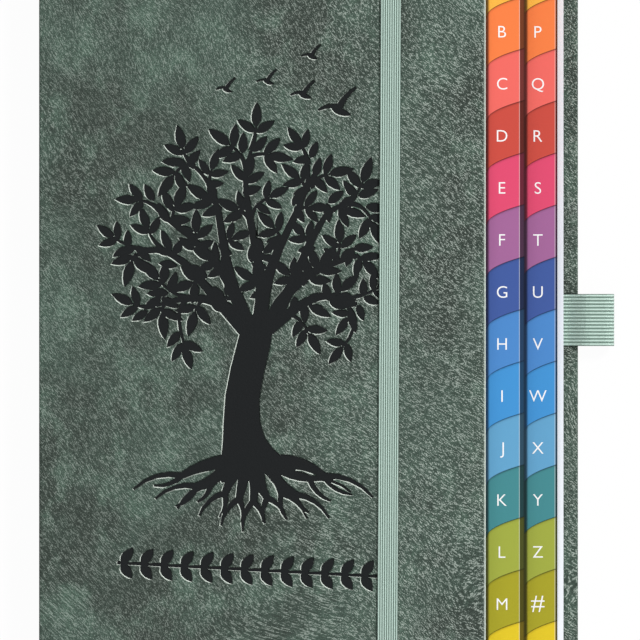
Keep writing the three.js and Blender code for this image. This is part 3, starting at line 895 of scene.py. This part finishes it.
@dataclass
class Elastics:
    """The closure band and the pen loop. Sizes are in millimetres."""

    nodes: dict[str, bpy.types.Object]
    weave: WovenBand = field(default_factory=WovenBand)
    strap_width: float = 5.6
    strap_ribs: int = 9
    strap_slant: float = 0.31
    loop_width: float = 14.3
    loop_ribs: int = 15
    squash_anchor: float = -1.2
    squash_keep: float = 0.04

    def build(self) -> bpy.types.Object:
        """Makes a copy of the closure band that rides on the back cover.

        Returns:
            The band, which stands for the node elastic_strap.
        """
        node = self.nodes["elastic_strap"]
        strap = link("closure_band", node.data.copy())
        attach(strap, "back_cover")
        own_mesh(strap)
        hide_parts("elastic_strap")
        return strap

    def dress(self, strap: bpy.types.Object) -> None:
        """Gives both elastics their ribbed weave."""
        low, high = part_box("elastic_strap")
        centre = ((low.x + high.x) / 2 / MM, 0.0, 0.0)
        dress(strap, self.weave.build("closure_weave", centre, self.strap_slant, self.strap_ribs,
                                      self.strap_width, True))
        dress(self.nodes["pen_loop"], self.weave.build("loop_weave", (0, 0, 0), 0.0,
                                                       self.loop_ribs, self.loop_width, False))


@dataclass
class Studio:
    """Floor, light and camera. Sizes are in metres, and angles in degrees."""

    centre: Vec3 = (0.003, 0.0, 0.018)
    distance: float = 6.0
    frame_width: float = 0.1757
    world_strength: float = 0.42
    key_strength: float = 2.15
    key_turn: float = -42.0
    key_height: float = 50.0
    key_spread: float = 12.0
    fill_strength: float = 0.4
    fill_turn: float = 150.0
    fill_height: float = 60.0
    fill_spread: float = 40.0
    floor_size: float = 3.0
    floor_gap: float = 0.0001
    floor_paper: Colour = (250, 250, 250)
    floor_glow: float = 0.96
    view_reach: float = 20.0

    def build(self) -> None:
        """Makes the floor, the lights and the camera."""
        self._floor()
        self._world()
        self._sun("key_light", self.key_strength, self.key_turn, self.key_height,
                  self.key_spread)
        self._sun("fill_light", self.fill_strength, self.fill_turn, self.fill_height,
                  self.fill_spread)
        self._camera()

    def _floor(self) -> None:
        """A white floor that keeps the object's shadow."""
        half, down = self.floor_size / 2, -self.floor_gap
        corners = [(x * half, y * half, down) for x, y in ((-1, -1), (1, -1), (1, 1), (-1, 1))]
        floor = mesh_object("floor", corners, [(0, 1, 2, 3)])
        s = Shader("floor")
        ray = s.node("ShaderNodeLightPath", output="Is Camera Ray")
        glossy = s.node("ShaderNodeLightPath", output="Is Glossy Ray")
        through = s.node("ShaderNodeLightPath", output="Is Transmission Ray")
        seen = (ray + glossy + through) > 0.5
        paper = s.node("ShaderNodeBsdfDiffuse", None, {"Color": linear(self.floor_paper)})
        glow = s.node("ShaderNodeEmission", None, {"Color": (1, 1, 1, 1), "Strength": 1.0})
        inputs = {0: seen * self.floor_glow, 1: paper, 2: glow}
        dress(floor, s.end(s.node("ShaderNodeMixShader", None, inputs)))

    def _world(self) -> None:
        """Even white light, seen as white."""
        world = bpy.data.worlds.new("studio")
        bpy.context.scene.world = world
        world.use_nodes = True
        tree = world.node_tree
        tree.nodes.clear()
        lamp = tree.nodes.new("ShaderNodeBackground")
        lamp.inputs["Strength"].default_value = self.world_strength
        lamp.inputs["Color"].default_value = (1, 1, 1, 1)
        seen = tree.nodes.new("ShaderNodeBackground")
        seen.inputs["Strength"].default_value = 1.0
        seen.inputs["Color"].default_value = (1, 1, 1, 1)
        path = tree.nodes.new("ShaderNodeLightPath")
        mixed = tree.nodes.new("ShaderNodeMixShader")
        output = tree.nodes.new("ShaderNodeOutputWorld")
        tree.links.new(path.outputs["Is Camera Ray"], mixed.inputs[0])
        tree.links.new(lamp.outputs[0], mixed.inputs[1])
        tree.links.new(seen.outputs[0], mixed.inputs[2])
        tree.links.new(mixed.outputs[0], output.inputs[0])

    def _sun(self, name: str, strength: float, turn: float, height: float, spread: float) -> None:
        """A soft distant lamp. Turn is anticlockwise from the head, height from the horizon."""
        lamp = bpy.data.lights.new(name, "SUN")
        lamp.energy = strength
        lamp.angle = math.radians(spread)
        obj = link(name, lamp)
        a, e = math.radians(turn), math.radians(height)
        source = Vector((-math.sin(a) * math.cos(e), math.cos(a) * math.cos(e), math.sin(e)))
        obj.rotation_mode = "QUATERNION"
        obj.rotation_quaternion = source.to_track_quat("Z", "Y")

    def _camera(self) -> None:
        """The camera straight above the book, far off, with the photograph's framing."""
        data = bpy.data.cameras.new("camera")
        data.lens = data.sensor_width * self.distance / self.frame_width
        data.clip_end = self.view_reach
        camera = link("camera", data)
        camera.location = Vector(self.centre) + Vector((0, 0, self.distance))
        bpy.context.scene.camera = camera


INK: Colour = (252, 252, 252)
INK_SHADE: Colour = (225, 225, 225)
TABS_PER_COLUMN = 14
TAB_COLOURS: list[Colour] = [
    (252, 185, 70), (250, 130, 68), (244, 108, 99), (206, 77, 64), (228, 76, 114),
    (165, 103, 154), (64, 91, 160), (76, 138, 205), (66, 149, 214), (100, 165, 206),
    (68, 139, 145), (162, 172, 66), (169, 162, 36), (228, 200, 35),
]


def ink_material() -> bpy.types.Material:
    """White printing ink with a faint grain."""
    s = Shader("white_ink")
    x, y, z = s.place()
    grain = s.noise(s.stack(x, y, z), 4.0, 2.0)
    return s.surface(Base_Color=s.mix(grain * 0.1, linear(INK), linear(INK_SHADE)), Roughness=0.5)


def main() -> None:
    """Builds the looks piece by piece."""
    logging.basicConfig(level=logging.INFO, format="%(message)s")
    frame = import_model()
    bpy.context.scene.view_settings.view_transform = "Standard"
    nodes = frame["nodes"]

    case = Case(nodes)
    strips = case.build()
    case.dress(case.press_front(), strips)
    LOG.info("case: %s", [s.name for s in strips])

    Pages(nodes).dress()
    LOG.info("pages dressed")

    names = [f"tab_{letter}" for letter in string.ascii_lowercase] + ["tab_number", "tab_last"]
    marks = [*string.ascii_uppercase, "#", ""]
    part = TABS_PER_COLUMN
    columns = [
        IndexColumn(nodes, names[:part], marks[:part], edge=59.2, face_start=48.5,
                    face_end=57.9, curve_start=48.8, letter_x=53.03),
        IndexColumn(nodes, names[part:], marks[part:], edge=68.3, face_start=59.2,
                    face_end=67.75, curve_start=59.0, letter_x=62.92),
    ]
    ink = ink_material()
    for column in columns:
        letters = column.build()
        column.dress(letters, TAB_COLOURS, ink)
        LOG.info("tabs: %d letters", len(letters))

    elastics = Elastics(nodes)
    strap = elastics.build()
    elastics.dress(strap)
    LOG.info("elastics: %s", strap.name)

    Studio().build()
    LOG.info("studio built")


if __name__ == "__main__":
    main()
